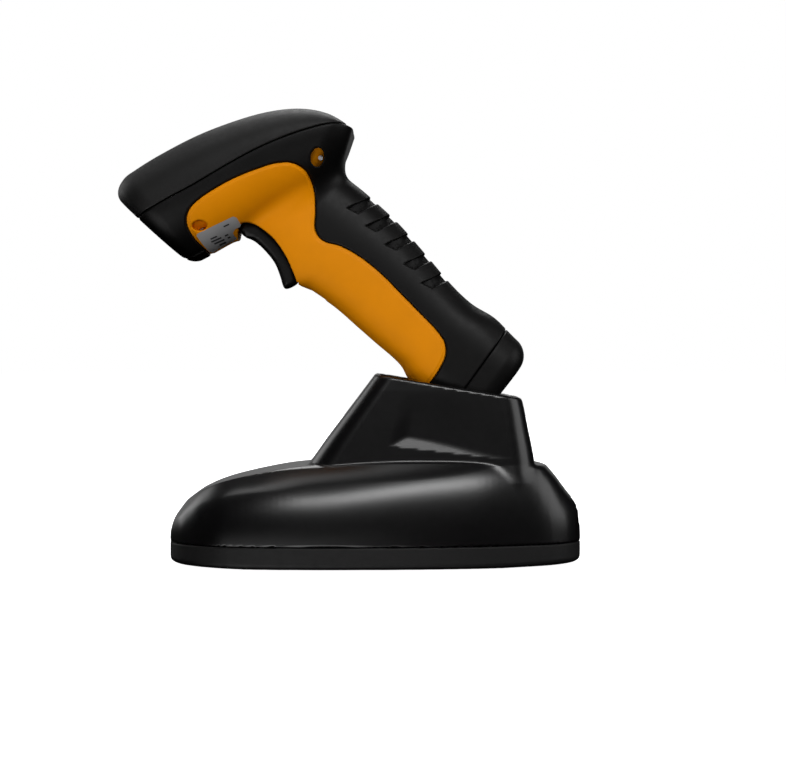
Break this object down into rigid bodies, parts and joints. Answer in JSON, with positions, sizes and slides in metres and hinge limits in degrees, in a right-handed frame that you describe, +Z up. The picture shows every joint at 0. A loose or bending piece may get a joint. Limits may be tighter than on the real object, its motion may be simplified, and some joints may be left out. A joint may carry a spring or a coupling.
{
  "type": "cordless barcode scanner with charging cradle",
  "caption": "Cordless pistol-grip barcode scanner with a sprung trigger, standing handle-down in a desktop charging cradle that it lifts out of.",
  "frame": {"origin": "centre of the object's bounding box on the surface it stands on", "axes": "+Z up, the scanner's nose towards -X, +Y across the object"},
  "size_m": [0.2205, 0.086, 0.2169],
  "materials": {
    "base_plastic": "matte dark grey",
    "battery_wrap": "shrink-wrap",
    "black_plastic": "fine satin texture",
    "circuit_board": "solder mask",
    "component": "matte black",
    "cover_plastic": "spark-eroded matte texture",
    "cradle_plastic": "satin black",
    "engine_metal": "anodised",
    "gold_contact": "gold-plated",
    "label": "silver-grey printed film",
    "light_pipe": "clear",
    "rubber": "matte black",
    "steel": "zinc-plated",
    "window": "dark red filter glass",
    "yellow_plastic": "satin orange-yellow"
  },
  "bodies": {
    "cradle": {"cradle_top": "cradle_plastic", "cradle_base": "base_plastic", "cradle_board": "circuit_board", "radio_module": "steel", "cable_port": "component", "ballast_plate": "steel", "contact_block": "component", "contact_spring_left": "steel", "contact_spring_right": "steel", "foot_front_left": "rubber", "foot_front_right": "rubber", "foot_rear_left": "rubber", "foot_rear_right": "rubber", "base_screw_front_left": "steel", "base_screw_front_right": "steel", "base_screw_rear_left": "steel", "base_screw_rear_right": "steel"},
    "scanner": {"top_cover": "cover_plastic", "body_shell": "black_plastic", "front_housing": "yellow_plastic", "end_cap": "black_plastic", "window_gasket": "rubber", "exit_window": "window", "scan_engine": "engine_metal", "engine_lens": "engine_metal", "engine_bracket": "steel", "main_board": "circuit_board", "processor_shield": "steel", "beeper": "component", "status_light_pipe": "light_pipe", "lanyard_bar": "steel", "trigger_pin": "steel", "trigger_spring": "steel", "trigger_switch": "component", "trigger_board": "circuit_board", "battery_cell": "battery_wrap", "battery_carrier": "component", "battery_spring": "steel", "battery_contact_plate": "steel", "charge_pad_left": "gold_contact", "charge_pad_right": "gold_contact", "rating_label": "label", "housing_screw_left": "steel", "housing_screw_right": "steel"},
    "trigger": {"trigger": "black_plastic"},
    "switch_plunger": {"switch_plunger": "component"},
    "contact_pin_left": {"contact_pin_left": "gold_contact"},
    "contact_pin_right": {"contact_pin_right": "gold_contact"}
  },
  "joints": [
    {"name": "scanner_lift", "type": "slide", "parent": "cradle", "child": "scanner", "axis": [-0.6884, 0, 0.7254], "range_m": [0, 0.07]},
    {"name": "trigger_pull", "type": "hinge", "parent": "scanner", "child": "trigger", "pos_m": [-0.046, 0, 0.165], "axis": [0, -1, 0], "range_deg": [0, 5], "stiffness_Nm_per_rad": 0.6, "deforming": ["trigger_spring"]},
    {"name": "switch_press", "type": "slide", "parent": "scanner", "child": "switch_plunger", "axis": [0.7263, 0, 0.6873], "range_m": [0, 0.0021]},
    {"name": "contact_pin_left_press", "type": "slide", "parent": "cradle", "child": "contact_pin_left", "axis": [0.8102, 0, -0.5861], "range_m": [0, 0.001], "stiffness_N_per_m": 300, "deforming": ["contact_spring_left"]},
    {"name": "contact_pin_right_press", "type": "slide", "parent": "cradle", "child": "contact_pin_right", "axis": [0.8102, 0, -0.5861], "range_m": [0, 0.001], "stiffness_N_per_m": 300, "deforming": ["contact_spring_right"]}
  ],
  "couplings": [
    {"joint": "switch_press", "follows": "trigger_pull", "m_per_rad": 0.0232}
  ]
}
